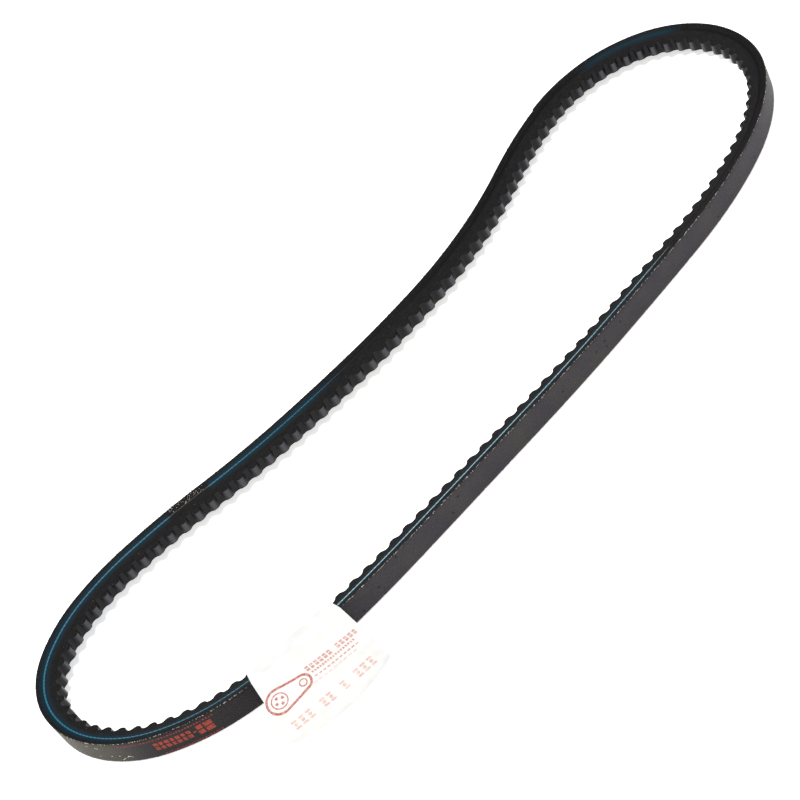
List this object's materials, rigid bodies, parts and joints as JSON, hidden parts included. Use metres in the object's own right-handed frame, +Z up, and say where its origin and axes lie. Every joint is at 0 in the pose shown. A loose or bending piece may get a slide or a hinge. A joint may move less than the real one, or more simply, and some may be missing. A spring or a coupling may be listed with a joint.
{
  "type": "v belt",
  "caption": "Raw-edge cogged V-belt loop lying on its side, layered from fabric cover to moulded cogs, hinged at its flex points, with a sliding paper sleeve.",
  "frame": {"origin": "middle of the rectangle that the belt and its sleeve cover on the surface they lie on", "axes": "+X along the loop's long way, from the sleeve's end towards the plain end; +Z up, across the belt's width"},
  "size_m": [0.376, 0.1302, 0.0115],
  "materials": {
    "back_fabric": "rubberised woven cover, matt charcoal",
    "top_rubber": "raw-cut rubber, matt",
    "cushion_gum": "raw-cut gum, matt",
    "tension_cord": "dipped cord, teal",
    "cog_rubber": "moulded rubber, satin",
    "paper": "uncoated white paper"
  },
  "bodies": {
    "bend_left_upper": {"back_fabric_bend_left_upper": "back_fabric", "top_rubber_bend_left_upper": "top_rubber", "cushion_gum_bend_left_upper": "cushion_gum", "tension_cord_bend_left_upper": "tension_cord", "cog_rubber_bend_left_upper": "cog_rubber"},
    "bend_left_lower": {"back_fabric_bend_left_lower": "back_fabric", "top_rubber_bend_left_lower": "top_rubber", "cushion_gum_bend_left_lower": "cushion_gum", "tension_cord_bend_left_lower": "tension_cord", "cog_rubber_bend_left_lower": "cog_rubber"},
    "run_upper_left": {"back_fabric_run_upper_left": "back_fabric", "top_rubber_run_upper_left": "top_rubber", "cushion_gum_run_upper_left": "cushion_gum", "tension_cord_run_upper_left": "tension_cord", "cog_rubber_run_upper_left": "cog_rubber"},
    "run_upper_right": {"back_fabric_run_upper_right": "back_fabric", "top_rubber_run_upper_right": "top_rubber", "cushion_gum_run_upper_right": "cushion_gum", "tension_cord_run_upper_right": "tension_cord", "cog_rubber_run_upper_right": "cog_rubber"},
    "bend_right": {"back_fabric_bend_right": "back_fabric", "top_rubber_bend_right": "top_rubber", "cushion_gum_bend_right": "cushion_gum", "tension_cord_bend_right": "tension_cord", "cog_rubber_bend_right": "cog_rubber"},
    "run_lower_right": {"back_fabric_run_lower_right": "back_fabric", "top_rubber_run_lower_right": "top_rubber", "cushion_gum_run_lower_right": "cushion_gum", "tension_cord_run_lower_right": "tension_cord", "cog_rubber_run_lower_right": "cog_rubber"},
    "run_lower_left": {"back_fabric_run_lower_left": "back_fabric", "top_rubber_run_lower_left": "top_rubber", "cushion_gum_run_lower_left": "cushion_gum", "tension_cord_run_lower_left": "tension_cord", "cog_rubber_run_lower_left": "cog_rubber"},
    "sleeve": {"paper_sleeve": "paper"}
  },
  "joints": [
    {"name": "flex_upper_left", "type": "hinge", "parent": "bend_left_upper", "child": "run_upper_left", "pos_m": [-0.05172, 0.04587, 0.0056], "axis": [0, 0, 1], "range_deg": [-5, 5], "stiffness_Nm_per_rad": 0.05},
    {"name": "flex_upper_middle", "type": "hinge", "parent": "run_upper_left", "child": "run_upper_right", "pos_m": [0.08828, 0.05087, 0.0056], "axis": [0, 0, 1], "range_deg": [-10, 10], "stiffness_Nm_per_rad": 0.05},
    {"name": "flex_upper_right", "type": "hinge", "parent": "run_upper_right", "child": "bend_right", "pos_m": [0.17428, 0.04487, 0.0056], "axis": [0, 0, 1], "range_deg": [-5, 5], "stiffness_Nm_per_rad": 0.05},
    {"name": "flex_lower_right", "type": "hinge", "parent": "bend_right", "child": "run_lower_right", "pos_m": [0.13128, -0.04013, 0.0056], "axis": [0, 0, 1], "range_deg": [-5, 5], "stiffness_Nm_per_rad": 0.05},
    {"name": "flex_lower_middle", "type": "hinge", "parent": "run_lower_right", "child": "run_lower_left", "pos_m": [-0.00872, -0.04513, 0.0056], "axis": [0, 0, 1], "range_deg": [-10, 10], "stiffness_Nm_per_rad": 0.05},
    {"name": "flex_lower_left", "type": "hinge", "parent": "run_lower_left", "child": "bend_left_lower", "pos_m": [-0.09472, -0.03913, 0.0056], "axis": [0, 0, 1], "range_deg": [-5, 5], "stiffness_Nm_per_rad": 0.05},
    {"name": "sleeve_slide", "type": "slide", "parent": "bend_left_lower", "child": "sleeve", "axis": [-0.9785, 0.2062, 0], "range_m": [-0.004, 0.004]}
  ],
  "couplings": [
    {"joint": "flex_upper_middle", "follows": "flex_upper_left", "ratio": -2},
    {"joint": "flex_upper_right", "follows": "flex_upper_left", "ratio": 1},
    {"joint": "flex_lower_right", "follows": "flex_upper_left", "ratio": 1},
    {"joint": "flex_lower_middle", "follows": "flex_upper_left", "ratio": -2},
    {"joint": "flex_lower_left", "follows": "flex_upper_left", "ratio": 1}
  ]
}
